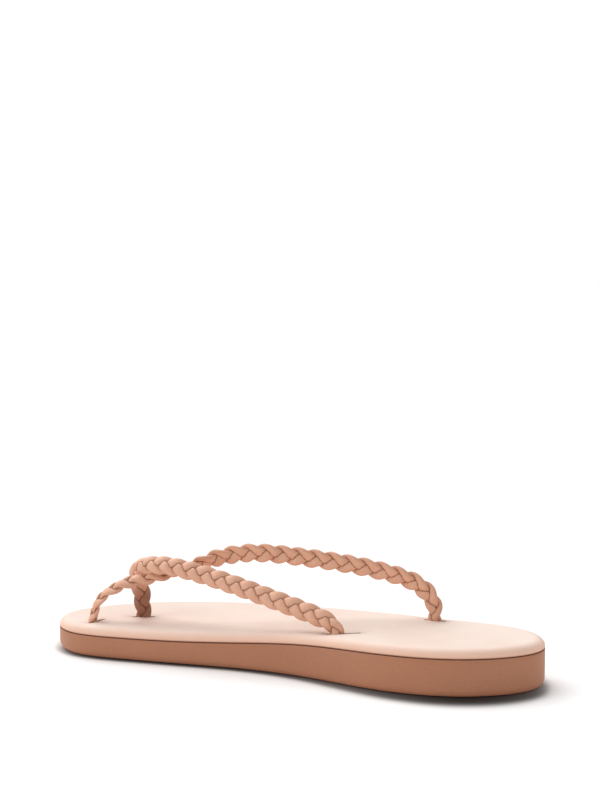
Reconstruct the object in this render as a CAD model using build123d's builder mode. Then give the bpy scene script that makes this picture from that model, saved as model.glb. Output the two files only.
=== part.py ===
"""Right-foot leather flip flop with two braided straps.

Frame: +Y points to the toe, +X to the outer side of the foot, +Z up, with the
origin on the floor under the middle of the sole. All sizes are millimetres.
"""
import os
from math import ceil, cos, exp, pi, radians, sin, tan

from build123d import *

os.makedirs("parts", exist_ok=True)

# ---------------------------------------------------------------- sole sizes
# Plan outline of the sole, clockwise from the tip of the toe.
OUTLINE = [
    (-19.0, 126.0),
    (3.3, 118.0),
    (18.5, 105.0),
    (32.1, 85.0),
    (43.2, 49.0),
    (42.2, 20.0),
    (33.7, -15.0),
    (28.3, -50.0),
    (26.6, -88.0),
    (17.0, -117.0),
    (-3.0, -126.0),
    (-24.0, -115.0),
    (-39.2, -88.0),
    (-40.6, -50.0),
    (-34.4, -15.0),
    (-34.2, 20.0),
    (-38.6, 50.0),
    (-43.2, 83.0),
    (-41.2, 110.0),
]

INSET_POINTS = 28  # points that redraw the outline when it is moved inwards

SEAM_TOE = 10.8  # height of the seam between outsole and footbed at the toe
SEAM_RISE = 7.2  # how much higher the seam is at the heel
SEAM_MIDDLE_Y = 2.4  # where the rise is half done
SEAM_SPREAD = 21.0  # how gently it rises
SEAM_STEP_Y = 15.0  # spacing of the points that draw the seam's curve
SEAM_REACH_Y = 135.0  # the curve runs past both ends of the sole

SOLE_WIDTH_SPAN = 60.0  # half-width that clears the sole on both sides
SOLE_HEIGHT_SPAN = 40.0  # height that clears it

BOTTOM_ROUND = 4.0  # outsole's lower edge
OUTSOLE_WALL = 5.0
OUTSOLE_FLOOR = 3.5
GROOVE_DEPTH = 1.0
GROOVE_WIDTH = 2.4
GROOVE_PITCH = 8.0
GROOVE_COUNT = 28
GROOVE_MARGIN = 8.0  # plain border round the tread

FOLD_THICKNESS = 0.6  # cover leather folded under the board
FOLD_WIDTH = 14.0
BOARD_THICKNESS = 1.8
FOAM_THICKNESS = 1.2
COVER_THICKNESS = 1.0
TOP_ROUND = 3.8  # footbed's upper edge
FILLER_GAP = 0.2

BOARD_LOW = FOLD_THICKNESS  # levels above the seam
FOAM_LOW = BOARD_LOW + BOARD_THICKNESS
COVER_LOW = FOAM_LOW + FOAM_THICKNESS
FOOTBED_TOP = COVER_LOW + COVER_THICKNESS

# --------------------------------------------------------------- strap sizes
STRAND_RADIUS = 1.3
CORE_RADIUS = 0.6
CORE_GAP = 0.05
BRAID_PERIOD = 25.0
BRAID_SIDE = 3.7  # how far a strand weaves to each side
BRAID_DEPTH = 2.15  # how far it weaves up and down
BRAID_STATIONS = 12  # path points in one period
SPAN_STEPS = 12  # steps between two route points
RUN_SHARE = 0.45  # share of the shorter run that an arc takes up

# Each route point is a place and the direction that the strap's face looks.
MEDIAL_ROUTE = [
    ((-23.2, -30.6, 15.5), (-0.77, -0.41, 0.0)),
    ((-23.2, -30.6, 20.0), (-0.77, -0.41, 0.1)),
    ((-23.1, -28.2, 24.6), (-0.8, -0.38, 0.25)),
    ((-23.0, -19.5, 28.2), (-0.85, -0.35, 0.35)),
    ((-22.8, 2.0, 33.6), (-0.88, -0.25, 0.42)),
    ((-22.5, 27.0, 39.4), (-0.87, -0.2, 0.45)),
    ((-22.0, 48.0, 43.4), (-0.82, -0.15, 0.52)),
    ((-21.0, 63.0, 45.4), (-0.7, -0.1, 0.7)),
    ((-18.6, 74.8, 46.2), (-0.5, -0.1, 0.9)),
    ((-14.6, 83.4, 44.0), (0.0, 0.15, 1.0)),
    ((-11.0, 87.0, 37.0), (0.75, 0.4, 0.5)),
    ((-9.6, 86.4, 28.0), (0.87, 0.5, 0.1)),
    ((-9.2, 85.3, 17.0), (0.87, 0.5, 0.0)),
    ((-9.2, 85.3, 10.0), (0.87, 0.5, 0.0)),
]
LATERAL_ROUTE = [
    ((21.0, -62.0, 16.5), (1.0, 0.0, 0.0)),
    ((21.0, -62.0, 23.0), (0.97, 0.0, 0.1)),
    ((21.4, -60.5, 31.5), (0.95, 0.1, 0.2)),
    ((19.3, -51.0, 40.5), (0.93, 0.2, 0.3)),
    ((12.3, -28.0, 46.8), (0.93, 0.25, 0.2)),
    ((3.3, 3.5, 50.8), (0.93, 0.25, 0.15)),
    ((-2.7, 26.0, 51.8), (0.9, 0.2, 0.2)),
    ((-6.2, 44.0, 48.4), (0.8, 0.2, 0.5)),
    ((-9.6, 57.5, 42.8), (0.4, 0.1, 0.9)),
    ((-16.6, 72.5, 38.2), (-0.1, 0.1, 1.0)),
    ((-23.8, 86.5, 34.6), (-0.3, 0.5, 0.9)),
    ((-28.6, 97.5, 27.6), (-0.45, 0.89, 0.3)),
    ((-29.8, 102.3, 17.0), (-0.45, 0.89, 0.0)),
    ((-29.8, 102.3, 10.0), (-0.45, 0.89, 0.0)),
]

# Where the straps pass through the footbed: place, direction of the strap's
# width as an angle from +X, and the hole's length. The medial strap dives in
# along its own width, so its hole is longer.
STRAP_HOLES = {
    "medial_rear": ((-23.2, -30.6), 118.0, 15.6),
    "lateral_rear": ((21.0, -62.0), 90.0, 11.2),
    "thong": ((-9.2, 85.3), 120.0, 11.2),
    "medial_toe": ((-29.8, 102.3), 27.0, 11.2),
}
HOLE_WIDTH = 7.4

# ------------------------------------------------- clips on the strap's ends
CLIP_LENGTH = 12.6  # cup that grips the three strand ends
CLIP_WIDTH = 8.8
CLIP_DEPTH = 4.6
CLIP_WALL = 0.7
CLIP_CORNER = 3.5
FLANGE_LENGTH = 21.6
FLANGE_WIDTH = 8.8
FLANGE_DROP = 0.6  # below the seam, which slopes
TACK_SPACING = 18.6
TACK_RADIUS = 0.6
TACK_HEAD_RADIUS = 1.1
TACK_HEAD = 0.5
TACK_BITE = 1.2  # how far a tack goes into the board
POCKET_LENGTH = 22.4
POCKET_WIDTH = 9.6
POCKET_CORNER = 3.5
POCKET_DEPTH = 6.2


def seam_height(y):
    """Height of the seam between outsole and footbed at a place along Y."""
    return SEAM_TOE + SEAM_RISE / (1 + exp((y - SEAM_MIDDLE_Y) / SEAM_SPREAD))


def seam_points(level):
    """Points of the seam's curve, raised by level, from heel to toe."""
    steps = int(2 * SEAM_REACH_Y / SEAM_STEP_Y)
    places = [-SEAM_REACH_Y + i * SEAM_STEP_Y for i in range(steps + 1)]
    return [(y, seam_height(y) + level) for y in places]


def layer_profile(low, high):
    """Side view of a layer between two levels above the seam."""
    with BuildSketch(Plane.YZ) as profile:
        with BuildLine():
            lower = Spline(*seam_points(low))
            upper = Spline(*seam_points(high))
            Line(lower @ 0, upper @ 0)
            Line(lower @ 1, upper @ 1)
        make_face()
    return profile.sketch


def under_profile(floor, level):
    """Side view of everything between a flat floor and a level above the seam."""
    with BuildSketch(Plane.YZ) as profile:
        with BuildLine():
            upper = Spline(*seam_points(level))
            Polyline(upper @ 0, (-SEAM_REACH_Y, floor), (SEAM_REACH_Y, floor), upper @ 1)
        make_face()
    return profile.sketch


def plan(inset=0.0):
    """The sole's outline in plan, moved inwards square to itself."""
    rim = Spline(*OUTLINE, periodic=True)
    spots = [i / INSET_POINTS for i in range(INSET_POINTS)]
    points = OUTLINE
    if inset:
        points = [rim @ u + (rim % u).cross(Vector(0, 0, 1)) * inset for u in spots]
    with BuildSketch() as outline:
        with BuildLine():
            Spline(*points, periodic=True)
        make_face()
    return outline.sketch


def strap_holes():
    """Plan of the four holes for the strap ends."""
    with BuildSketch() as holes:
        for place, angle, length in STRAP_HOLES.values():
            with Locations(place):
                SlotOverall(length, HOLE_WIDTH, rotation=angle)
    return holes.sketch


def fold_opening(gap):
    """The space inside the cover's folded margin, under the board."""
    with BuildPart() as opening:
        with BuildSketch():
            add(plan(FOLD_WIDTH + gap))
        extrude(amount=SOLE_HEIGHT_SPAN)
        extrude(layer_profile(-1.0, BOARD_LOW), amount=SOLE_WIDTH_SPAN, both=True, mode=Mode.INTERSECT)
    return opening.part


def clip_pockets():
    """The spaces that the clips take up, below the board."""
    with BuildPart() as pockets:
        for (x, y), angle, length in STRAP_HOLES.values():
            low = seam_height(y) + BOARD_LOW - POCKET_DEPTH
            with BuildSketch(Plane((x, y, low))):
                RectangleRounded(POCKET_LENGTH, POCKET_WIDTH, POCKET_CORNER, rotation=angle)
            extrude(amount=SOLE_HEIGHT_SPAN)
    return pockets.part


def clip_top(hole):
    """Height of the upper face of a clip's flange."""
    (x, y), angle, length = STRAP_HOLES[hole]
    return seam_height(y) - FLANGE_DROP


def tack_places():
    """Where each tack is: its place in plan and the flange's lower face."""
    places = []
    for hole, ((x, y), angle, length) in STRAP_HOLES.items():
        for side in (-1, 1):
            reach = side * TACK_SPACING / 2
            turn = radians(angle)
            places.append((x + reach * cos(turn), y + reach * sin(turn), clip_top(hole) - CLIP_WALL))
    return places


def tack_shafts():
    """Shafts of all the tacks, from the flanges up into the board."""
    with BuildPart() as shafts:
        for x, y, flange in tack_places():
            with BuildSketch(Plane((x, y, flange))):
                Circle(TACK_RADIUS)
            extrude(amount=seam_height(y) + BOARD_LOW + TACK_BITE - flange)
    return shafts.part


def top_edges(part):
    """Outer edges of the highest sloping face, round the whole outline."""
    face = part.faces().sort_by(Axis.Z)[-1]
    return face.outer_wire().edges()


# ------------------------------------------------------------------- outsole
with BuildPart() as outsole:
    with BuildSketch():
        add(plan())
    extrude(amount=SOLE_HEIGHT_SPAN)
    fillet(outsole.edges().group_by(Axis.Z)[0], BOTTOM_ROUND)
    extrude(under_profile(-1.0, 0.0), amount=SOLE_WIDTH_SPAN, both=True, mode=Mode.INTERSECT)
    with BuildSketch(Plane.XY.offset(OUTSOLE_FLOOR)):
        add(plan(OUTSOLE_WALL))
    extrude(amount=SOLE_HEIGHT_SPAN, mode=Mode.SUBTRACT)
    add(clip_pockets(), mode=Mode.SUBTRACT)
    with BuildSketch():
        with GridLocations(0, GROOVE_PITCH, 1, GROOVE_COUNT):
            Rectangle(2 * SOLE_WIDTH_SPAN, GROOVE_WIDTH)
        add(plan(GROOVE_MARGIN), mode=Mode.INTERSECT)
    extrude(amount=GROOVE_DEPTH, mode=Mode.SUBTRACT)
outsole.part.label = "outsole"
export_step(outsole.part, "parts/outsole.step")

# ------------------------------------------------------- filler in the sole
with BuildPart() as sole_filler:
    with BuildSketch(Plane.XY.offset(OUTSOLE_FLOOR)):
        add(plan(OUTSOLE_WALL + FILLER_GAP))
    extrude(amount=SOLE_HEIGHT_SPAN)
    extrude(under_profile(0.0, 0.0), amount=SOLE_WIDTH_SPAN, both=True, mode=Mode.INTERSECT)
    add(fold_opening(FILLER_GAP))
    add(clip_pockets(), mode=Mode.SUBTRACT)
sole_filler.part.label = "sole_filler"
export_step(sole_filler.part, "parts/sole_filler.step")

# ---------------------------------------------------- board, foam and cover
with BuildPart() as footbed_inner:
    with BuildSketch():
        add(plan(COVER_THICKNESS))
    extrude(amount=SOLE_HEIGHT_SPAN)
    extrude(
        layer_profile(BOARD_LOW, COVER_LOW), amount=SOLE_WIDTH_SPAN, both=True, mode=Mode.INTERSECT
    )
    fillet(top_edges(footbed_inner), TOP_ROUND - COVER_THICKNESS)

with BuildPart() as insole_board:
    add(footbed_inner.part)
    extrude(
        layer_profile(BOARD_LOW, FOAM_LOW), amount=SOLE_WIDTH_SPAN, both=True, mode=Mode.INTERSECT
    )
    extrude(strap_holes(), amount=SOLE_HEIGHT_SPAN, mode=Mode.SUBTRACT)
    add(tack_shafts(), mode=Mode.SUBTRACT)
insole_board.part.label = "insole_board"
export_step(insole_board.part, "parts/insole_board.step")

with BuildPart() as footbed_foam:
    add(footbed_inner.part)
    extrude(
        layer_profile(FOAM_LOW, COVER_LOW + 1), amount=SOLE_WIDTH_SPAN, both=True, mode=Mode.INTERSECT
    )
    extrude(strap_holes(), amount=SOLE_HEIGHT_SPAN, mode=Mode.SUBTRACT)
footbed_foam.part.label = "footbed_foam"
export_step(footbed_foam.part, "parts/footbed_foam.step")

with BuildPart() as footbed_cover:
    with BuildSketch():
        add(plan())
    extrude(amount=SOLE_HEIGHT_SPAN)
    extrude(
        layer_profile(0.0, FOOTBED_TOP), amount=SOLE_WIDTH_SPAN, both=True, mode=Mode.INTERSECT
    )
    fillet(top_edges(footbed_cover), TOP_ROUND)
    add(footbed_inner.part, mode=Mode.SUBTRACT)
    add(fold_opening(0.0), mode=Mode.SUBTRACT)
    extrude(strap_holes(), amount=SOLE_HEIGHT_SPAN, mode=Mode.SUBTRACT)
    add(tack_shafts(), mode=Mode.SUBTRACT)
footbed_cover.part.label = "footbed_cover"
export_step(footbed_cover.part, "parts/footbed_cover.step")


# ------------------------------------------------------------ braided straps
def smooth(points):
    """Even steps along a smooth curve through all the points."""
    before = 2 * points[0] - points[1]
    after = 2 * points[-1] - points[-2]
    row = [before, *points, after]
    curve = []
    for a, b, c, d in zip(row, row[1:], row[2:], row[3:]):
        for step in range(SPAN_STEPS):
            t = step / SPAN_STEPS
            start = 2 * b + (c - a) * t
            bend = (2 * a - 5 * b + 4 * c - d) * t**2 + (3 * b - a - 3 * c + d) * t**3
            curve.append((start + bend) * 0.5)
    return [*curve, points[-1]]


def braid_frames(route):
    """Centre, width direction, face direction and length so far, along a strap."""
    centres = smooth([Vector(*place) for place, face in route])
    faces = smooth([Vector(*face) for place, face in route])
    frames = []
    travelled = 0.0
    for i, (centre, face) in enumerate(zip(centres, faces)):
        tangent = (centres[min(i + 1, len(centres) - 1)] - centres[max(i - 1, 0)]).normalized()
        outward = (face - tangent * face.dot(tangent)).normalized()
        if i:
            travelled += (centre - centres[i - 1]).length
        frames.append((centre, tangent.cross(outward), outward, travelled))
    return frames


def frame_at(frames, length):
    """The strap's centre and directions at a length along it."""
    for (p, w, n, s), (q, v, m, e) in zip(frames, frames[1:]):
        if length <= e:
            t = (length - s) / (e - s)
            return p + (q - p) * t, (w + (v - w) * t).normalized(), (n + (m - n) * t).normalized()
    return frames[-1][:3]


def strand_path(route, strand, end_low, start_low):
    """Weaving centreline of one strand, ending straight down inside both clips."""
    frames = braid_frames(route)
    total = frames[-1][3]
    count = ceil(total / BRAID_PERIOD * BRAID_STATIONS)
    points = []
    for i in range(count + 1):
        length = total * i / count
        centre, width, face = frame_at(frames, length)
        turn = 2 * pi * (length / BRAID_PERIOD + strand / 3)
        points.append(centre + width * BRAID_SIDE * sin(turn) + face * BRAID_DEPTH * sin(2 * turn))
    first = Vector(points[0].X, points[0].Y, start_low)
    last = Vector(points[-1].X, points[-1].Y, end_low)
    return [first, *points, last]


def bend_radii(points):
    """The largest arc that each corner's two runs leave room for."""
    radii = []
    for a, b, c in zip(points, points[1:], points[2:]):
        shorter = min((b - a).length, (c - b).length)
        half_turn = (b - a).get_angle(c - b) * pi / 360
        radii.append(RUN_SHARE * shorter / tan(half_turn))
    return radii


def strand_end(hole):
    """Height of the inner floor of a clip, where its strands end."""
    return clip_top(hole) - CLIP_DEPTH + CLIP_WALL


def make_strands(strap, route, start_clip, end_clip):
    """The three leather strands of a strap and their cotton cores."""
    for strand in range(3):
        points = strand_path(route, strand, strand_end(end_clip), strand_end(start_clip))
        radii = bend_radii(points)
        with BuildPart() as leather:
            with BuildLine() as path:
                FilletPolyline(*points, radius=radii)
            with BuildSketch(Plane(path.wire() @ 0, z_dir=path.wire() % 0)):
                Circle(STRAND_RADIUS)
            sweep(path=path.wire())
            with BuildSketch(Plane(path.wire() @ 0, z_dir=path.wire() % 0)):
                Circle(CORE_RADIUS + CORE_GAP)
            sweep(path=path.wire(), mode=Mode.SUBTRACT)
        with BuildPart() as core:
            with BuildSketch(Plane(path.wire() @ 0, z_dir=path.wire() % 0)):
                Circle(CORE_RADIUS)
            sweep(path=path.wire())
        for piece, kind in ((leather, "strand"), (core, "core")):
            piece.part.label = f"{strap}_{kind}_{strand + 1}"
            export_step(piece.part, f"parts/{piece.part.label}.step")
        ring = pi * (STRAND_RADIUS**2 - (CORE_RADIUS + CORE_GAP) ** 2)
        expected = ring * path.wire().length
        print(
            f"{strap} strand {strand + 1}: length {path.wire().length:.1f},",
            f"volume {leather.part.volume:.1f} of {expected:.1f},",
            f"radii {min(radii):.1f} to {max(radii):.1f}, valid {leather.part.is_valid}",
        )


make_strands("medial", MEDIAL_ROUTE, "medial_rear", "thong")
make_strands("lateral", LATERAL_ROUTE, "lateral_rear", "medial_toe")

# ------------------------------------------------------------ clips and tacks
def make_clip(hole):
    """A pressed metal cup with a flange, round the three ends of a strap."""
    (x, y), angle, length = STRAP_HOLES[hole]
    top = clip_top(hole)
    with BuildPart() as clip:
        with BuildSketch(Plane((x, y, top - CLIP_DEPTH))):
            RectangleRounded(CLIP_LENGTH, CLIP_WIDTH, CLIP_CORNER, rotation=angle)
        extrude(amount=CLIP_DEPTH)
        with BuildSketch(Plane((x, y, top - CLIP_WALL))):
            RectangleRounded(FLANGE_LENGTH, FLANGE_WIDTH, CLIP_CORNER, rotation=angle)
        extrude(amount=CLIP_WALL)
        with BuildSketch(Plane((x, y, top - CLIP_DEPTH + CLIP_WALL))):
            RectangleRounded(
                CLIP_LENGTH - 2 * CLIP_WALL,
                CLIP_WIDTH - 2 * CLIP_WALL,
                CLIP_CORNER - CLIP_WALL,
                rotation=angle,
            )
        extrude(amount=CLIP_DEPTH, mode=Mode.SUBTRACT)
    return clip.part


for hole in STRAP_HOLES:
    with BuildPart() as clip:
        add(make_clip(hole))
        add(tack_shafts(), mode=Mode.SUBTRACT)
    clip.part.label = f"{hole}_clip"
    export_step(clip.part, f"parts/{clip.part.label}.step")

with BuildPart() as strap_tacks:
    add(tack_shafts())
    for x, y, flange in tack_places():
        with BuildSketch(Plane((x, y, flange - TACK_HEAD))):
            Circle(TACK_HEAD_RADIUS)
        extrude(amount=TACK_HEAD)
strap_tacks.part.label = "strap_tacks"
export_step(strap_tacks.part, "parts/strap_tacks.step")
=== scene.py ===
"""Right-foot leather flip flop with two plaited straps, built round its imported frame."""
from math import atan2, cos, exp, hypot, pi, radians, sin, sqrt

import bpy
import numpy as np
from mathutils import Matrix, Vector
from mathutils.bvhtree import BVHTree


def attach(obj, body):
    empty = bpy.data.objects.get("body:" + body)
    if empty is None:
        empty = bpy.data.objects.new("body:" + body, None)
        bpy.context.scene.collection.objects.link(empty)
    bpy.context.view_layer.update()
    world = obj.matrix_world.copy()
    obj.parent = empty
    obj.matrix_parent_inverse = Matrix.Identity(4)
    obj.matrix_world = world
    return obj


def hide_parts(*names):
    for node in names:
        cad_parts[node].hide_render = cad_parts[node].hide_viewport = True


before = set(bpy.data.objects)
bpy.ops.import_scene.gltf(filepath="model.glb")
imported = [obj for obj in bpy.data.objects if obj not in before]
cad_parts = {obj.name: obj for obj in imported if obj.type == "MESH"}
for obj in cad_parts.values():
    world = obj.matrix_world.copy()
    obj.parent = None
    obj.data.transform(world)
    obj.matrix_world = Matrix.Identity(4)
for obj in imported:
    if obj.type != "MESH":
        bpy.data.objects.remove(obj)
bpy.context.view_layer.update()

bl_info = {
    "name": "Plaited flip flop",
    "version": (1, 0, 0),
    "blender": (4, 5, 0),
    "location": "3D View > Sidebar > Flip flop",
    "description": "Builds a leather flip flop with plaited straps piece by piece",
    "category": "Object",
}

MM = 0.001

# Plan outline of the sole in metres, clockwise from the tip of the toe.
OUTLINE = [
    (-0.0190, 0.1260), (0.0033, 0.1180), (0.0185, 0.1050), (0.0321, 0.0850), (0.0432, 0.0490),
    (0.0422, 0.0200), (0.0337, -0.0150), (0.0283, -0.0500), (0.0266, -0.0880), (0.0170, -0.1170),
    (-0.0030, -0.1260), (-0.0240, -0.1150), (-0.0392, -0.0880), (-0.0406, -0.0500),
    (-0.0344, -0.0150), (-0.0342, 0.0200), (-0.0386, 0.0500), (-0.0432, 0.0830), (-0.0412, 0.1100),
]
SEAM_TOE = 0.0108
SEAM_RISE = 0.0072
SEAM_MIDDLE_Y = 0.0024
SEAM_SPREAD = 0.0210
FOOTBED = 0.0046
HALF_WIDTH = 0.044
HALF_LENGTH = 0.126

BOTTOM_ROUND = 0.0040
OUTSOLE_WALL = 0.0050
OUTSOLE_FLOOR = 0.0035
GROOVE_DEPTH = 0.0010
GROOVE_WIDTH = 0.0024
GROOVE_PITCH = 0.0080
GROOVE_COUNT = 28
GROOVE_MARGIN = 0.0080
# Width of the painted shade where the strands of a strap meet.
CREASE_SHADE_WIDTH = 0.0004
ENTRY = 0.006

# Strap routes in metres: place, and the direction that the strap's face looks.
MEDIAL_ROUTE = [
    ((-0.0232, -0.0306, 0.0155), (-0.77, -0.41, 0.0)),
    ((-0.0232, -0.0306, 0.0200), (-0.77, -0.41, 0.1)),
    ((-0.0231, -0.0282, 0.0246), (-0.8, -0.38, 0.25)),
    ((-0.0230, -0.0195, 0.0282), (-0.85, -0.35, 0.35)),
    ((-0.0228, 0.0020, 0.0336), (-0.88, -0.25, 0.42)),
    ((-0.0225, 0.0270, 0.0394), (-0.87, -0.2, 0.45)),
    ((-0.0220, 0.0480, 0.0434), (-0.82, -0.15, 0.52)),
    ((-0.0211, 0.0630, 0.0450), (-0.8, -0.12, 0.6)),
    ((-0.0193, 0.0742, 0.0442), (-0.82, -0.12, 0.55)),
    ((-0.0155, 0.0828, 0.0417), (-0.8, -0.2, 0.55)),
    ((-0.0112, 0.0871, 0.0368), (-0.83, -0.4, 0.35)),
    ((-0.0096, 0.0864, 0.0280), (-0.87, -0.5, 0.05)),
    ((-0.0092, 0.0853, 0.0170), (-0.87, -0.5, 0.0)),
    ((-0.0092, 0.0853, 0.0100), (-0.87, -0.5, 0.0)),
]
LATERAL_ROUTE = [
    ((0.0210, -0.0620, 0.0165), (1.0, 0.0, 0.0)),
    ((0.0210, -0.0620, 0.0230), (0.97, 0.0, 0.1)),
    ((0.0214, -0.0605, 0.0315), (0.95, 0.1, 0.2)),
    ((0.0193, -0.0510, 0.0405), (0.93, 0.2, 0.3)),
    ((0.0123, -0.0280, 0.0468), (0.93, 0.25, 0.2)),
    ((0.0033, 0.0035, 0.0508), (0.93, 0.25, 0.15)),
    ((-0.0027, 0.0260, 0.0518), (0.9, 0.2, 0.2)),
    ((-0.0062, 0.0440, 0.0484), (0.8, 0.2, 0.5)),
    ((-0.0096, 0.0575, 0.0428), (0.4, 0.1, 0.9)),
    ((-0.0166, 0.0725, 0.0382), (-0.1, 0.1, 1.0)),
    ((-0.0238, 0.0865, 0.0346), (-0.3, 0.5, 0.9)),
    ((-0.0286, 0.0975, 0.0276), (-0.45, 0.89, 0.3)),
    ((-0.0298, 0.1023, 0.0170), (-0.45, 0.89, 0.0)),
    ((-0.0298, 0.1023, 0.0100), (-0.45, 0.89, 0.0)),
]
# Slits in the footbed: place, angle of the slit from +X in degrees, and length.
SLITS = {
    "medial_rear": ((-0.0219, -0.0330), 118.0, 0.0170),
    "lateral_rear": ((0.0210, -0.0620), 90.0, 0.0120),
    "thong": ((-0.0092, 0.0853), 120.0, 0.0118),
    "medial_toe": ((-0.0286, 0.1010), -10.0, 0.0120),
}


# ------------------------------------------------------------------ settings
def length_property(name, description, default):
    return bpy.props.FloatProperty(name=name, description=description, default=default, unit="LENGTH", precision=5)


def colour_property(name, description, default):
    return bpy.props.FloatVectorProperty(
        name=name, description=description, default=default, size=3, subtype="COLOR", min=0, max=1
    )


class FLIPFLOP_PG_sole(bpy.types.PropertyGroup):
    """Sizes and colours of the sole."""

    edge_round: length_property("Edge rounding", "Width of the footbed's rounded rim", 0.0050)
    edge_drop: length_property("Edge drop", "Height of the footbed's rounded rim", 0.0037)
    leather: length_property("Leather thickness", "Thickness of the footbed cover", 0.0006)
    slit_width: length_property("Slit width", "Width of the slits that the straps go through", 0.0022)
    cover_colour: colour_property("Cover colour", "Pale natural leather", (0.845, 0.70, 0.62))
    rubber_colour: colour_property("Outsole colour", "Tan moulded rubber", (0.43, 0.187, 0.100))


class FLIPFLOP_PG_straps(bpy.types.PropertyGroup):
    """Sizes and colours of the plaited straps."""

    period: length_property("Plait period", "Length in which a strand comes back to its place", 0.0250)
    side: length_property("Weave to the side", "How far a strand's middle weaves sideways", 0.0022)
    depth: length_property("Weave in depth", "How far a strand's middle weaves up and down", 0.0014)
    strand_width: length_property("Strand width", "Width of one rounded strand", 0.0050)
    strand_height: length_property("Strand height", "Thickness of one rounded strand", 0.0027)
    colour: colour_property("Strap colour", "Natural leather of the strands", (0.74, 0.42, 0.287))


class FLIPFLOP_PG_stage(bpy.types.PropertyGroup):
    """Floor, light and camera."""

    floor_colour: colour_property("Floor colour", "Plain pale floor", (0.97, 0.97, 0.97))
    lens: bpy.props.FloatProperty(name="Lens", description="Focal length in millimetres", default=92.6)


# --------------------------------------------------------------------- curves
def seam_height(y):
    """Height of the seam between outsole and footbed."""
    return SEAM_TOE + SEAM_RISE / (1 + exp((y - SEAM_MIDDLE_Y) / SEAM_SPREAD))


def closed_spline(points, steps):
    """Points on the smooth closed curve through all the given ones."""
    p = np.array(points)
    n = len(p)
    h = np.linalg.norm(np.roll(p, -1, 0) - p, axis=1)
    slope = (np.roll(p, -1, 0) - p) / h[:, None]
    system = np.zeros((n, n))
    for i in range(n):
        system[i, i - 1] += h[i - 1]
        system[i, i] += 2 * (h[i - 1] + h[i])
        system[i, (i + 1) % n] += h[i]
    m = np.linalg.solve(system, 6 * (slope - np.roll(slope, 1, 0)))
    curve = []
    for i in range(n):
        j = (i + 1) % n
        for t in np.linspace(0, h[i], steps, endpoint=False):
            s = h[i] - t
            bend = (m[i] * s**3 + m[j] * t**3) / (6 * h[i])
            curve.append(bend + (p[i] / h[i] - m[i] * h[i] / 6) * s + (p[j] / h[i] - m[j] * h[i] / 6) * t)
    return np.array(curve)


class Outline:
    """The sole's outline, found by direction from the middle of the sole."""

    def __init__(self):
        curve = closed_spline(OUTLINE, 40)
        tangent = np.roll(curve, -1, 0) - np.roll(curve, 1, 0)
        tangent /= np.linalg.norm(tangent, axis=1)[:, None]
        inward = np.stack([tangent[:, 1], -tangent[:, 0]], axis=1)
        turn = np.arctan2(curve[:, 1] / HALF_LENGTH, curve[:, 0] / HALF_WIDTH)
        order = np.argsort(turn)
        self.turn = turn[order]
        self.rows = np.hstack([curve, inward])[order]

    def at(self, turn, inset=0.0):
        x, y, nx, ny = [np.interp(turn, self.turn, self.rows[:, k], period=2 * pi) for k in range(4)]
        return x + nx * inset, y + ny * inset


def smooth(points, steps):
    """Even steps along a smooth curve through all the points."""
    row = [2 * points[0] - points[1], *points, 2 * points[-1] - points[-2]]
    curve = []
    for a, b, c, d in zip(row, row[1:], row[2:], row[3:]):
        for step in range(steps):
            t = step / steps
            bend = (2 * a - 5 * b + 4 * c - d) * t**2 + (3 * b - a - 3 * c + d) * t**3
            curve.append((2 * b + (c - a) * t + bend) * 0.5)
    return [*curve, points[-1]]


def strap_frames(route, count):
    """Centres, width and face directions at even lengths along a strap."""
    centres = np.array(smooth([Vector(place) for place, face in route], 16))
    faces = np.array(smooth([Vector(face) for place, face in route], 16))
    run = np.linalg.norm(np.diff(centres, axis=0), axis=1)
    travelled = np.concatenate([[0], np.cumsum(run)])
    lengths = np.linspace(0, travelled[-1], count)
    centre = np.stack([np.interp(lengths, travelled, centres[:, k]) for k in range(3)], axis=1)
    face = np.stack([np.interp(lengths, travelled, faces[:, k]) for k in range(3)], axis=1)
    tangent = unit(np.gradient(centre, axis=0))
    outward = unit(face - tangent * np.sum(face * tangent, axis=1)[:, None])
    return centre, np.cross(tangent, outward), outward, lengths


def unit(rows):
    return rows / np.linalg.norm(rows, axis=1)[:, None]


# ------------------------------------------------------------------ mesh tools
def deselect():
    if bpy.context.object and bpy.context.object.mode != "OBJECT":
        bpy.ops.object.mode_set(mode="OBJECT")
    bpy.ops.object.select_all(action="DESELECT")


def add_grid(name, across, along):
    """A flat grid of that many faces, ready to be laid over a shape."""
    deselect()
    bpy.ops.mesh.primitive_grid_add(x_subdivisions=across, y_subdivisions=along, size=2)
    piece = bpy.context.object
    piece.name = name
    piece.data.name = name
    return piece


def coordinates(piece):
    values = np.empty(len(piece.data.vertices) * 3)
    piece.data.vertices.foreach_get("co", values)
    return values.reshape(-1, 3)


def set_coordinates(piece, values):
    piece.data.vertices.foreach_set("co", np.asarray(values).ravel())
    piece.data.update()


def attribute(piece, name, values=None):
    """Writes or reads a number at each vertex."""
    data = piece.data.attributes.get(name)
    if data is None:
        data = piece.data.attributes.new(name, "FLOAT", "POINT")
    if values is not None:
        data.data.foreach_set("value", np.asarray(values, dtype=np.float32))
        return None
    found = np.empty(len(piece.data.vertices), dtype=np.float32)
    data.data.foreach_get("value", found)
    return found


def extrude_border(piece):
    """Extrudes the open border in place and returns the new vertices' numbers."""
    before = len(piece.data.vertices)
    deselect()
    bpy.context.view_layer.objects.active = piece
    piece.select_set(True)
    bpy.ops.object.mode_set(mode="EDIT")
    bpy.ops.mesh.select_mode(type="EDGE")
    bpy.ops.mesh.select_all(action="DESELECT")
    bpy.ops.mesh.select_non_manifold(
        extend=False, use_wire=False, use_boundary=True, use_multi_face=False,
        use_non_contiguous=False, use_verts=False,
    )
    bpy.ops.mesh.extrude_edges_move()
    bpy.ops.object.mode_set(mode="OBJECT")
    return range(before, len(piece.data.vertices))


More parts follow.
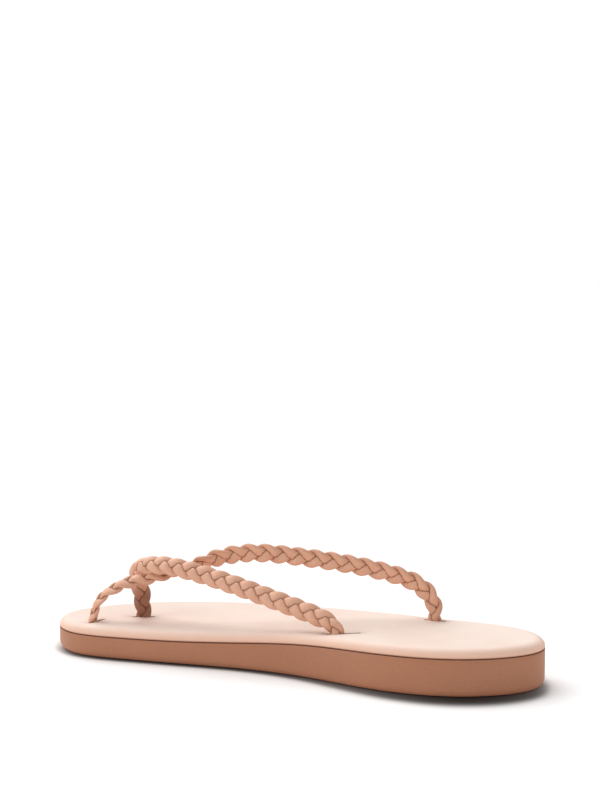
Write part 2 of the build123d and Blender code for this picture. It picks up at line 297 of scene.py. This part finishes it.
def edit_all(piece, *steps):
    """Runs edit-mode steps on the whole piece."""
    deselect()
    bpy.context.view_layer.objects.active = piece
    piece.select_set(True)
    bpy.ops.object.mode_set(mode="EDIT")
    bpy.ops.mesh.select_all(action="SELECT")
    for step in steps:
        step()
    bpy.ops.object.mode_set(mode="OBJECT")


def apply_modifier(piece, kind, **settings):
    """Adds a modifier and applies it."""
    deselect()
    bpy.context.view_layer.objects.active = piece
    piece.select_set(True)
    modifier = piece.modifiers.new(kind.title(), kind)
    for key, value in settings.items():
        setattr(modifier, key, value)
    bpy.ops.object.modifier_apply(modifier=modifier.name)


def shade(piece, degrees=40):
    deselect()
    bpy.context.view_layer.objects.active = piece
    piece.select_set(True)
    bpy.ops.object.shade_smooth_by_angle(angle=radians(degrees))


def finish_piece(piece, material, slot, *nodes):
    """Gives a piece its material and its body, and hides the imported parts that it stands for. The slot is not
    used.
    """
    piece.data.materials.clear()
    piece.data.materials.append(material)
    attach(piece, "root")
    if nodes:
        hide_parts(*nodes)


# ------------------------------------------------------------------- materials
class Sum:
    """A socket that can be used in sums."""

    def __init__(self, tree, socket):
        self.tree = tree
        self.socket = socket

    def maths(self, operation, first, second=0.0):
        node = self.tree.nodes.new("ShaderNodeMath")
        node.operation = operation
        for place, value in zip(node.inputs, (first, second)):
            if isinstance(value, Sum):
                self.tree.links.new(value.socket, place)
            else:
                place.default_value = value
        return Sum(self.tree, node.outputs[0])

    def __add__(self, other):
        return self.maths("ADD", self, other)

    def __sub__(self, other):
        return self.maths("SUBTRACT", self, other)

    def __rsub__(self, other):
        return self.maths("SUBTRACT", other, self)

    def __mul__(self, other):
        return self.maths("MULTIPLY", self, other)

    def power(self, other):
        return self.maths("POWER", self, other)

    def clamp(self):
        return self.maths("MINIMUM", self.maths("MAXIMUM", self, 0.0), 1.0)

    __radd__ = __add__
    __rmul__ = __mul__


class Paint:
    """A material on one shader, with short ways to add its nodes."""

    def __init__(self, name, **values):
        self.material = bpy.data.materials.new(name)
        self.material.use_nodes = True
        self.tree = self.material.node_tree
        self.shader = self.tree.nodes["Principled BSDF"]
        for key, value in values.items():
            self.shader.inputs[key.replace("_", " ")].default_value = value
        self.place = self.node("ShaderNodeTexCoord").outputs["Object"]

    def node(self, kind, settings=(), inputs=()):
        node = self.tree.nodes.new(kind)
        for key, value in dict(settings).items():
            setattr(node, key, value)
        for key, value in dict(inputs).items():
            if isinstance(value, Sum):
                value = value.socket
            if isinstance(value, bpy.types.NodeSocket):
                self.tree.links.new(value, node.inputs[key])
            else:
                node.inputs[key].default_value = value
        return node

    def noise(self, scale, detail=2.0, roughness=0.5, stretch=None):
        """Soft random spots, from about 0.3 to 0.7."""
        place = self.place
        if stretch:
            place = self.node("ShaderNodeMapping", inputs={"Vector": place, "Scale": stretch}).outputs[0]
        inputs = {"Vector": place, "Scale": scale, "Detail": detail, "Roughness": roughness}
        return Sum(self.tree, self.node("ShaderNodeTexNoise", inputs=inputs).outputs["Fac"])

    def cells(self, scale, feature="F1"):
        inputs = {"Vector": self.place, "Scale": scale}
        return Sum(self.tree, self.node("ShaderNodeTexVoronoi", {"feature": feature}, inputs).outputs["Distance"])

    def number(self, name):
        """A number stored at the piece's vertices."""
        return Sum(self.tree, self.node("ShaderNodeAttribute", {"attribute_name": name}).outputs["Fac"])

    def mix(self, amount, first, second):
        """Goes from the first colour to the second."""
        node = self.node("ShaderNodeMix", {"data_type": "RGBA"}, {0: amount.clamp()})
        for place, value in ((node.inputs[6], first), (node.inputs[7], second)):
            if isinstance(value, bpy.types.NodeSocket):
                self.tree.links.new(value, place)
            else:
                place.default_value = (*value, 1.0)
        return node.outputs[2]

    def connect(self, name, value):
        self.tree.links.new(value.socket if isinstance(value, Sum) else value, self.shader.inputs[name])

    def bump(self, height, distance, strength=1.0):
        inputs = {"Height": height, "Distance": distance, "Strength": strength}
        self.connect("Normal", self.node("ShaderNodeBump", inputs=inputs).outputs[0])


def tint(colour, factor):
    return tuple(min(1.0, c * factor) for c in colour)


def warm(colour, red, green, blue):
    return (min(1.0, colour[0] * red), colour[1] * green, colour[2] * blue)


def cover_leather(colour):
    """Smooth natural leather: fine grain, faint mottling, painted sheen and shade on the rim, painted shade in the
    seam groove.
    """
    paint = Paint("footbed_leather", Specular_IOR_Level=0.22)
    mottle = paint.noise(28, 3, 0.55)
    cloud = paint.noise(9, 2, 0.5)
    grain = paint.cells(1500)
    fine = paint.noise(2600, 3, 0.6)
    base = paint.mix((mottle - 0.32) * 2.4, warm(colour, 0.965, 0.93, 0.90), tint(colour, 1.03))
    base = paint.mix((cloud - 0.5) * 1.6, base, warm(colour, 1.0, 1.035, 1.05))
    # Painted sheen and shade: the rim's side keeps a warmer, darker colour and the top is paler, as if it caught
    # the sheen.
    base = paint.mix(paint.number("side"), base, warm(colour, 1.0, 0.74, 0.61))
    # Painted shade in the groove at the seam, under the turned edge.
    base = paint.mix(paint.number("edge") * 0.95, base, warm(colour, 0.34, 0.20, 0.16))
    base = paint.mix((0.22 - grain) * 1.6, base, warm(colour, 0.90, 0.85, 0.82))
    # Darker round the slits.
    base = paint.mix(paint.number("slit_darkening") * 0.7, base, warm(colour, 0.70, 0.56, 0.48))
    paint.connect("Base Color", base)
    paint.connect("Roughness", 0.52 + 0.16 * mottle - 0.10 * grain)
    paint.bump(grain * 0.5 + fine * 0.35 + mottle * 1.3, 0.00012, 0.55)
    return paint.material


def strand_leather(colour):
    """Nappa leather of the rounded strands: satin and creased, with painted shade where strands meet, towards
    their sides and on the toe post.
    """
    paint = Paint("strand_leather", Specular_IOR_Level=0.4)
    mottle = paint.noise(120, 3, 0.6)
    crease = paint.noise(420, 3, 0.55)
    grain = paint.cells(2200)
    rim = paint.number("rim")
    base = paint.mix((mottle - 0.3) * 2.2, warm(colour, 0.94, 0.88, 0.84), tint(colour, 1.06))
    # Painted shade towards the sides of each strand's rounded section.
    base = paint.mix(rim.power(4.0) * 0.35, base, warm(colour, 0.62, 0.48, 0.40))
    # Painted shade on the toe post, which lies under the straps.
    base = paint.mix(paint.number("post_shade"), base, warm(colour, 0.45, 0.35, 0.30))
    # Painted shade in the thin line where a strand meets its neighbours.
    base = paint.mix(paint.number("crease"), base, warm(colour, 0.20, 0.10, 0.065))
    paint.connect("Base Color", base)
    paint.connect("Roughness", 0.40 + 0.18 * mottle)
    paint.bump(grain * 0.35 + crease * 1.0 + mottle * 0.8, 0.00014, 0.6)
    return paint.material


def outsole_rubber(colour):
    """Satin moulded rubber with a fine speckle and faint scuff streaks."""
    paint = Paint("outsole_rubber", Specular_IOR_Level=0.38)
    cloud = paint.noise(16, 3, 0.55)
    speck = paint.noise(1300, 2, 0.7)
    pore = paint.cells(900)
    scuff = paint.noise(60, 4, 0.6, (1.0, 0.35, 4.0))
    base = paint.mix((cloud - 0.3) * 2.2, warm(colour, 0.92, 0.87, 0.84), tint(colour, 1.07))
    base = paint.mix((speck - 0.56) * 4.0, base, warm(colour, 1.16, 1.18, 1.2))
    base = paint.mix((0.40 - speck) * 4.0, base, tint(colour, 0.78))
    base = paint.mix((scuff - 0.60) * 1.4, base, warm(colour, 1.12, 1.15, 1.18))
    # Painted shade along the top rim, in the groove at the seam.
    base = paint.mix(paint.number("edge"), base, warm(colour, 0.60, 0.50, 0.46))
    paint.connect("Base Color", base)
    paint.connect("Roughness", 0.42 + 0.20 * cloud)
    paint.bump(speck * 0.7 + pore * 0.5 + scuff * 0.6, 0.00010, 0.5)
    return paint.material


def plain_finish(name, colour, dark, scale, rough, metal=0.0, stretch=None, height=0.0002):
    """Fine two-tone finish for the pieces inside the sole."""
    paint = Paint(name, Metallic=metal)
    grain = paint.noise(scale, 4, 0.6, stretch)
    fine = paint.noise(scale * 5, 2, 0.6)
    paint.connect("Base Color", paint.mix((grain - 0.3) * 2.4, dark, colour))
    paint.connect("Roughness", rough + 0.25 * (fine - 0.5))
    paint.bump(grain + fine * 0.5, height, 0.6)
    return paint.material


# -------------------------------------------------------------------- operators
def footbed_height(x, y):
    """Extra height of the footbed's top: hollows at heel and ball, dimples at the slits."""
    lift = -0.0005 * exp(-((x + 0.004) / 0.020) ** 2 - ((y + 0.085) / 0.032) ** 2)
    lift -= 0.0004 * exp(-((x - 0.004) / 0.026) ** 2 - ((y - 0.055) / 0.034) ** 2)
    lift -= 0.00035 * exp(-((x + 0.012 - 0.10 * (y - 0.035)) / 0.0022) ** 2 - ((y - 0.035) / 0.022) ** 2)
    for (sx, sy), angle, length in SLITS.values():
        along = (x - sx) * cos(radians(angle)) + (y - sy) * sin(radians(angle))
        across = -(x - sx) * sin(radians(angle)) + (y - sy) * cos(radians(angle))
        beyond = max(0.0, abs(along) - length / 2)
        lift -= 0.0009 * exp(-hypot(beyond, across) / 0.0035)
    return lift


class FLIPFLOP_OT_footbed(bpy.types.Operator):
    """Builds the padded leather footbed cover with its slits"""

    bl_idname = "flipflop.footbed"
    bl_label = "Footbed cover"

    def execute(self, context):
        sizes = context.scene.flipflop_sole
        outline = Outline()
        cover = add_grid("footbed_cover_leather", 90, 200)
        flat = coordinates(cover)
        laid = []
        turns = []
        for u, v, _ in flat:
            x = u * sqrt(1 - v * v / 2)
            y = v * sqrt(1 - u * u / 2)
            turn = atan2(y, x)
            reach = hypot(x, y)
            bx, by = outline.at(turn, sizes.edge_round)
            px, py = bx * reach, by * reach
            laid.append((px, py, seam_height(py) + FOOTBED + footbed_height(px, py)))
            turns.append(turn)
        set_coordinates(cover, laid)
        attribute(cover, "turn", turns)
        attribute(cover, "edge", np.zeros(len(laid)))
        attribute(cover, "side", np.zeros(len(laid)))
        attribute(cover, "slit_darkening", self.slit_darkening(laid))
        profile = [(1 - sin(a), 1 - cos(a)) for a in np.linspace(pi / 18, pi / 2, 9)]
        rings = [(sizes.edge_round * i, sizes.edge_drop * d) for i, d in profile]
        rings += [(0.0, 0.0039), (0.00015, 0.0042), (0.0006, 0.0045), (0.0012, 0.0046), (0.0140, 0.0046)]
        for inset, drop in rings:
            fresh = extrude_border(cover)
            values = coordinates(cover)
            turn = attribute(cover, "turn")
            edge = attribute(cover, "edge")
            side = attribute(cover, "side")
            for i in fresh:
                x, y = outline.at(turn[i], inset)
                level = FOOTBED - drop
                if drop < sizes.edge_drop:
                    level += footbed_height(x, y) * (1 - drop / sizes.edge_drop)
                values[i] = (x, y, seam_height(y) + level)
                # Painted shade: the lowest rings, tucked into the seam groove, go dark.
                edge[i] = max(0.0, min(1.0, (drop - 0.0036) / 0.0006))
                # Painted shade: the rim darkens and warms as it turns down from the top.
                side[i] = min(1.0, drop / sizes.edge_drop) ** 0.55
            set_coordinates(cover, values)
            attribute(cover, "edge", edge)
            attribute(cover, "side", side)
        edit_all(cover, bpy.ops.mesh.normals_make_consistent)
        apply_modifier(cover, "SOLIDIFY", thickness=sizes.leather, offset=-1.0)
        self.cut_slits(cover, sizes)
        shade(cover, 50)
        finish_piece(cover, cover_leather(sizes.cover_colour), "footbed_leather", "footbed_cover")
        return {"FINISHED"}

    def slit_darkening(self, places):
        """Faint darkening round the slits."""
        marks = []
        for x, y, _ in places:
            mark = 0.0
            for (sx, sy), angle, length in SLITS.values():
                along = (x - sx) * cos(radians(angle)) + (y - sy) * sin(radians(angle))
                across = -(x - sx) * sin(radians(angle)) + (y - sy) * cos(radians(angle))
                beyond = max(0.0, abs(along) - length / 2)
                mark = max(mark, exp(-hypot(beyond, across) / 0.0022))
            marks.append(mark)
        return marks

    def cut_slits(self, cover, sizes):
        """Cuts the four slits through the top with rounded cutters."""
        for (x, y), angle, length in SLITS.values():
            deselect()
            bpy.ops.mesh.primitive_cylinder_add(vertices=24, radius=sizes.slit_width / 2, depth=0.012)
            cutter = bpy.context.object
            values = coordinates(cutter)
            values[:, 0] += np.sign(values[:, 0]) * (length - sizes.slit_width) / 2
            turn = radians(angle)
            spun = values.copy()
            spun[:, 0] = values[:, 0] * cos(turn) - values[:, 1] * sin(turn) + x
            spun[:, 1] = values[:, 0] * sin(turn) + values[:, 1] * cos(turn) + y
            spun[:, 2] += seam_height(y) + FOOTBED
            set_coordinates(cutter, spun)
            apply_modifier(cover, "BOOLEAN", operation="DIFFERENCE", object=cutter, solver="EXACT")
            bpy.data.objects.remove(cutter)


class FLIPFLOP_OT_outsole(bpy.types.Operator):
    """Builds the moulded outsole as a tub with a rounded bottom edge and a tread"""

    bl_idname = "flipflop.outsole"
    bl_label = "Outsole"

    def execute(self, context):
        outline = Outline()
        deselect()
        bpy.ops.mesh.primitive_circle_add(vertices=600, radius=1, fill_type="NGON")
        sole = context.object
        sole.name = "outsole_rubber"
        turn = [atan2(y, x) for x, y, _ in coordinates(sole)]
        attribute(sole, "turn", turn)
        attribute(sole, "edge", np.zeros(len(turn)))
        set_coordinates(sole, [(*outline.at(t, BOTTOM_ROUND * 1.5), 0.0) for t in turn])
        for inset, share, lift in self.rings():
            fresh = extrude_border(sole)
            values = coordinates(sole)
            turn = attribute(sole, "turn")
            edge = attribute(sole, "edge")
            for i in fresh:
                x, y = outline.at(turn[i], inset)
                values[i] = (x, y, share * seam_height(y) + lift)
                # Painted shade: the top rim rings at the seam groove go dark.
                edge[i] = float(share == 1 and 0 < inset < OUTSOLE_WALL)
            set_coordinates(sole, values)
            attribute(sole, "edge", edge)
        edit_all(sole, self.close_floor, bpy.ops.mesh.normals_make_consistent)
        self.cut_tread(sole, outline)
        shade(sole, 30)
        rubber = outsole_rubber(context.scene.flipflop_sole.rubber_colour)
        finish_piece(sole, rubber, "outsole_rubber", "outsole")
        return {"FINISHED"}

    def rings(self):
        """Inset, share of the seam's height and further height of each ring, from below."""
        rings = [(BOTTOM_ROUND, 0, 0.0)]
        for angle in np.linspace(pi / 16, pi / 2, 8):
            rings.append((BOTTOM_ROUND * (1 - sin(angle)), 0, BOTTOM_ROUND * (1 - cos(angle))))
        rings += [(0.0, share, BOTTOM_ROUND * (1 - share)) for share in (0.25, 0.5, 0.75)]
        rings += [(0.0, 1, -0.0003), (0.0001, 1, -0.0001), (0.0004, 1, 0.0)]
        return rings + [(OUTSOLE_WALL, 1, 0.0), (OUTSOLE_WALL, 0, OUTSOLE_FLOOR)]

    def close_floor(self):
        bpy.ops.mesh.select_mode(type="EDGE")
        bpy.ops.mesh.select_all(action="DESELECT")
        bpy.ops.mesh.select_non_manifold(
            extend=False, use_wire=False, use_boundary=True, use_multi_face=False,
            use_non_contiguous=False, use_verts=False,
        )
        bpy.ops.mesh.edge_face_add()
        bpy.ops.mesh.select_mode(type="VERT")
        bpy.ops.mesh.select_all(action="SELECT")

    def cut_tread(self, sole, outline):
        """Cuts the straight cross grooves into the underside."""
        border = np.array([outline.at(turn, GROOVE_MARGIN) for turn in np.linspace(0, 2 * pi, 2000)])
        deselect()
        bpy.ops.mesh.primitive_cube_add(size=1)
        cutter = bpy.context.object
        values = coordinates(cutter) * (1.0, GROOVE_WIDTH, 2 * GROOVE_DEPTH)
        values[:, 1] -= GROOVE_PITCH * (GROOVE_COUNT - 1) / 2
        set_coordinates(cutter, values)
        apply_modifier(
            cutter, "ARRAY", count=GROOVE_COUNT, use_relative_offset=False,
            use_constant_offset=True, constant_offset_displace=(0.0, GROOVE_PITCH, 0.0),
        )
        values = coordinates(cutter)
        for start in range(0, len(values), 8):
            box = values[start:start + 8]
            middle = box[:, 1].mean()
            near = border[np.abs(border[:, 1] - middle) < GROOVE_WIDTH / 2, 0]
            split = (near.min() + near.max()) / 2
            left, right = near[near < split].max(), near[near > split].min()
            box[:, 0] = np.where(box[:, 0] < 0, left, right)
        set_coordinates(cutter, values)
        apply_modifier(sole, "BOOLEAN", operation="DIFFERENCE", object=cutter, solver="EXACT")
        bpy.data.objects.remove(cutter)


class FLIPFLOP_OT_straps(bpy.types.Operator):
    """Plaits the six leather strands of the two straps"""

    bl_idname = "flipflop.straps"
    bl_label = "Plaited straps"

    def execute(self, context):
        sizes = context.scene.flipflop_straps
        leather = strand_leather(sizes.colour)
        for strap, route in (("medial", MEDIAL_ROUTE), ("lateral", LATERAL_ROUTE)):
            pieces = [self.strand(f"{strap}_strand_leather_{n + 1}", route, n, sizes) for n in range(3)]
            self.paint_crease_shade(pieces)
            for n, piece in enumerate(pieces):
                nodes = (f"{strap}_strand_{n + 1}", f"{strap}_core_{n + 1}")
                finish_piece(piece, leather, "strap_leather", *nodes)
        return {"FINISHED"}

    def strand(self, name, route, number, sizes):
        """One strand: a tube with a flattened round section on its woven path."""
        around, along = 24, 420
        centre, width, face, lengths = strap_frames(route, along + 1)
        turn = 2 * pi * (lengths / sizes.period + number / 3)
        taper = 1 - 0.28 * np.exp(-(((lengths - ENTRY) / 0.008) ** 2))
        taper -= 0.18 * np.exp(-(((lengths[-1] - ENTRY - lengths) / 0.008) ** 2))
        weave = -np.sin(2 * turn)
        path = centre + width * (taper * sizes.side * (1.06 * np.sin(turn) - 0.09 * np.sin(3 * turn)))[:, None]
        run = lengths / lengths[-1]
        slim = 1 - 0.28 * np.clip((run - 0.84) / 0.06, 0, 1) * (route is LATERAL_ROUTE)
        path += face * (sizes.depth * weave * slim)[:, None]
        tangent = unit(np.gradient(path, axis=0))
        tilt = radians(24) * np.sin(turn)
        lean = face * np.cos(tilt)[:, None] + width * np.sin(tilt)[:, None]
        up = unit(lean - tangent * np.sum(lean * tangent, axis=1)[:, None])
        out = np.cross(tangent, up)
        piece = add_grid(name, around, along)
        flat = coordinates(piece)
        row = np.rint((flat[:, 1] + 1) / 2 * along).astype(int)
        spin = -(flat[:, 0] + 1) * pi
        c, s = np.cos(spin), np.sin(spin)
        wide = np.sign(c) * np.abs(c) ** 0.88 * sizes.strand_width / 2 * taper[row]
        high = np.sign(s) * np.abs(s) ** 0.88 * sizes.strand_height / 2 * slim[row]
        set_coordinates(piece, path[row] + out[row] * wide[:, None] + up[row] * high[:, None])
        # Painted shade: darker towards the sides of the section.
        attribute(piece, "rim", np.abs(c))
        # Painted shade on the last stretch of the medial strap, the toe post.
        attribute(piece, "post_shade", np.clip((run[row] - 0.85) / 0.06, 0, 1) * (route is MEDIAL_ROUTE))
        edit_all(
            piece,
            lambda: bpy.ops.mesh.remove_doubles(threshold=0.000005),
            self.close_ends,
            bpy.ops.mesh.normals_make_consistent,
        )
        shade(piece, 60)
        return piece

    def paint_crease_shade(self, strands):
        """Paints shade on the thin line where a strand meets the others of its strap."""
        trees = []
        for strand in strands:
            polygons = [polygon.vertices[:] for polygon in strand.data.polygons]
            trees.append(BVHTree.FromPolygons(coordinates(strand).tolist(), polygons))
        for strand, own in zip(strands, trees):
            crease_shades = []
            for place in coordinates(strand).tolist():
                gap = CREASE_SHADE_WIDTH
                for tree in trees:
                    found, normal, _, distance = tree.find_nearest(place) if tree is not own else (None,) * 4
                    if found:
                        inside = (Vector(place) - found).dot(normal) < 0
                        gap = 0.0 if inside else min(gap, distance)
                    if gap == 0.0:
                        break
                crease_shades.append((1 - gap / CREASE_SHADE_WIDTH) ** 1.5)
            attribute(strand, "crease", crease_shades)

    def close_ends(self):
        bpy.ops.mesh.select_mode(type="EDGE")
        bpy.ops.mesh.select_all(action="DESELECT")
        bpy.ops.mesh.select_non_manifold(
            extend=False, use_wire=False, use_boundary=True, use_multi_face=False,
            use_non_contiguous=False, use_verts=False,
        )
        bpy.ops.mesh.fill()
        bpy.ops.mesh.select_mode(type="VERT")
        bpy.ops.mesh.select_all(action="SELECT")


class FLIPFLOP_OT_inside(bpy.types.Operator):
    """Gives the pieces inside the sole and the strands their finishes"""

    bl_idname = "flipflop.inside"
    bl_label = "Inner pieces"

    def execute(self, context):
        foam = plain_finish("filler_foam", (0.72, 0.66, 0.58), (0.62, 0.55, 0.47), 700, 0.85)
        board = plain_finish("insole_fibreboard", (0.34, 0.22, 0.13), (0.22, 0.14, 0.08), 300, 0.8, 0, (1, 3, 1))
        # Painted shade: the cushion foam is coloured dark brown for the shade it lies in, seen through the slits.
        cushion = plain_finish("cushion_foam_painted_shade", (0.20, 0.13, 0.09), (0.12, 0.075, 0.05), 900, 0.9)
        cotton = plain_finish("cotton_cord", (0.80, 0.75, 0.66), (0.62, 0.56, 0.47), 1800, 0.9, 0, (1, 6, 1))
        steel = plain_finish("pressed_steel", (0.60, 0.59, 0.57), (0.48, 0.47, 0.45), 900, 0.35, 1.0, (1, 12, 1), 0.00003)
        brass = plain_finish("tack_brass", (0.72, 0.53, 0.25), (0.55, 0.38, 0.16), 1500, 0.35, 1.0, None, 0.00003)
        finishes = {
            "sole_filler": foam, "insole_board": board, "footbed_foam": cushion, "core": cotton,
            "clip": steel, "strap_tacks": brass,
        }
        for name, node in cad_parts.items():
            for key, material in finishes.items():
                if key in name:
                    node.data.materials.clear()
                    node.data.materials.append(material)
        return {"FINISHED"}


class FLIPFLOP_OT_stage(bpy.types.Operator):
    """Lays the pale floor and sets the studio light and the camera"""

    bl_idname = "flipflop.stage"
    bl_label = "Floor, light and camera"

    def execute(self, context):
        stage = context.scene.flipflop_stage
        self.lay_floor(stage.floor_colour)
        self.light("overhead", "SUN", (0.50, 0.75, 1.10), 2.35, angle=radians(56))
        self.light("toe_fill", "AREA", (-1.1, 1.2, 0.6), 7.0, size=1.2)
        self.light("heel_fill", "AREA", (-0.7, -1.5, 0.6), 3.5, size=1.2)
        world = bpy.data.worlds.new("studio")
        world.use_nodes = True
        self.paint_world(world.node_tree)
        context.scene.world = world
        context.scene.view_settings.view_transform = "Standard"
        camera = bpy.data.cameras.new("camera")
        camera.lens = stage.lens
        camera.sensor_width = 36
        camera.clip_start = 0.01
        viewer = bpy.data.objects.new("camera", camera)
        viewer.location = (-0.8902, -0.4470, 0.2420)
        aim = Vector((-0.0042, -0.0010, 0.1290)) - viewer.location
        viewer.rotation_euler = aim.to_track_quat("-Z", "Y").to_euler()
        context.collection.objects.link(viewer)
        context.scene.camera = viewer
        return {"FINISHED"}

    def paint_world(self, tree):
        """Even soft light, and pure white where the background itself shows."""
        background = tree.nodes["Background"]
        background.inputs["Color"].default_value = (1.0, 1.0, 1.0, 1.0)
        rays = tree.nodes.new("ShaderNodeLightPath")
        strength = Sum(tree, rays.outputs["Is Camera Ray"]) * 0.55 + 0.48
        tree.links.new(strength.socket, background.inputs["Strength"])

    def lay_floor(self, colour):
        """A wide floor in rings round the sole, so that it can carry a contact shadow."""
        outline = Outline()
        deselect()
        bpy.ops.mesh.primitive_circle_add(vertices=600, radius=1, fill_type="NGON")
        floor = bpy.context.object
        floor.name = "studio_floor"
        turn = [atan2(y, x) for x, y, _ in coordinates(floor)]
        attribute(floor, "turn", turn)
        attribute(floor, "shadow", np.zeros(len(turn)))
        set_coordinates(floor, [(*outline.at(t, 0.010), 0.0) for t in turn])
        for away in (-8, -6, -5, -4, -3, -2, -1, 0, 1, 2, 3, 4, 5, 6, 7, 8, 10, 12, 14, 17, 20, 25, 30):
            fresh = extrude_border(floor)
            values = coordinates(floor)
            turn = attribute(floor, "turn")
            shadow = attribute(floor, "shadow")
            for i in fresh:
                x, y = outline.at(turn[i], -away * MM)
                values[i] = (x, y, 0.0)
                shadow[i] = self.contact_shadow(outline, turn[i], away * MM)
            set_coordinates(floor, values)
            attribute(floor, "shadow", shadow)
        far = extrude_border(floor)
        values = coordinates(floor)
        values[far.start:] *= 60
        set_coordinates(floor, values)
        floor.data.materials.append(self.floor_paint(colour))

    def contact_shadow(self, outline, turn, away):
        """Darkness of the floor beside the sole: deepest in front of the heel."""
        x, y = outline.at(turn)
        inner = outline.at(turn, MM)
        facing = max(0.0, ((x - inner[0]) * -0.89 + (y - inner[1]) * -0.45) / MM)
        heel = 1 / (1 + exp((y + 0.032) / 0.016))
        reach = 0.0020 + 0.0120 * heel * facing**3
        fade = min(20.0, (away - reach) / (0.0006 + 0.10 * reach))
        return (0.35 + 0.62 * facing) / (1 + exp(fade))

    def floor_paint(self, colour):
        paint = Paint("studio_floor", Roughness=0.8, Specular_IOR_Level=0.1)
        cloud = paint.noise(3, 2, 0.5)
        seen = Sum(paint.tree, paint.node("ShaderNodeLightPath").outputs["Is Camera Ray"])
        base = paint.mix(cloud, tint(colour, 0.995), tint(colour, 1.005))
        paint.connect("Base Color", paint.mix(paint.number("shadow") * seen, base, (0.012, 0.008, 0.006)))
        return paint.material

    def light(self, name, kind, place, energy, **settings):
        """A lamp that looks at the sole from its place."""
        lamp = bpy.data.lights.new(name, kind)
        lamp.energy = energy
        for key, value in settings.items():
            setattr(lamp, key, value)
        holder = bpy.data.objects.new(name, lamp)
        holder.location = place
        holder.rotation_euler = (-Vector(place)).to_track_quat("-Z", "Y").to_euler()
        bpy.context.collection.objects.link(holder)


class FLIPFLOP_PT_panel(bpy.types.Panel):
    """Buttons that build the flip flop"""

    bl_idname = "FLIPFLOP_PT_panel"
    bl_label = "Flip flop"
    bl_space_type = "VIEW_3D"
    bl_region_type = "UI"
    bl_category = "Flip flop"

    def draw(self, context):
        for group in GROUPS:
            settings = getattr(context.scene, group)
            for name in settings.__annotations__:
                self.layout.prop(settings, name)
        for operator in OPERATORS:
            self.layout.operator(operator.bl_idname)


GROUPS = {
    "flipflop_sole": FLIPFLOP_PG_sole,
    "flipflop_straps": FLIPFLOP_PG_straps,
    "flipflop_stage": FLIPFLOP_PG_stage,
}
OPERATORS = (
    FLIPFLOP_OT_stage,
    FLIPFLOP_OT_outsole,
    FLIPFLOP_OT_footbed,
    FLIPFLOP_OT_straps,
    FLIPFLOP_OT_inside,
)


def register():
    for name, group in GROUPS.items():
        bpy.utils.register_class(group)
        setattr(bpy.types.Scene, name, bpy.props.PointerProperty(type=group))
    for operator in OPERATORS:
        bpy.utils.register_class(operator)
    bpy.utils.register_class(FLIPFLOP_PT_panel)


def unregister():
    bpy.utils.unregister_class(FLIPFLOP_PT_panel)
    for operator in reversed(OPERATORS):
        bpy.utils.unregister_class(operator)
    for name, group in GROUPS.items():
        delattr(bpy.types.Scene, name)
        bpy.utils.unregister_class(group)


def main():
    register()
    for operator in OPERATORS:
        module, name = operator.bl_idname.split(".")
        getattr(getattr(bpy.ops, module), name)()


if __name__ == "__main__":
    main()
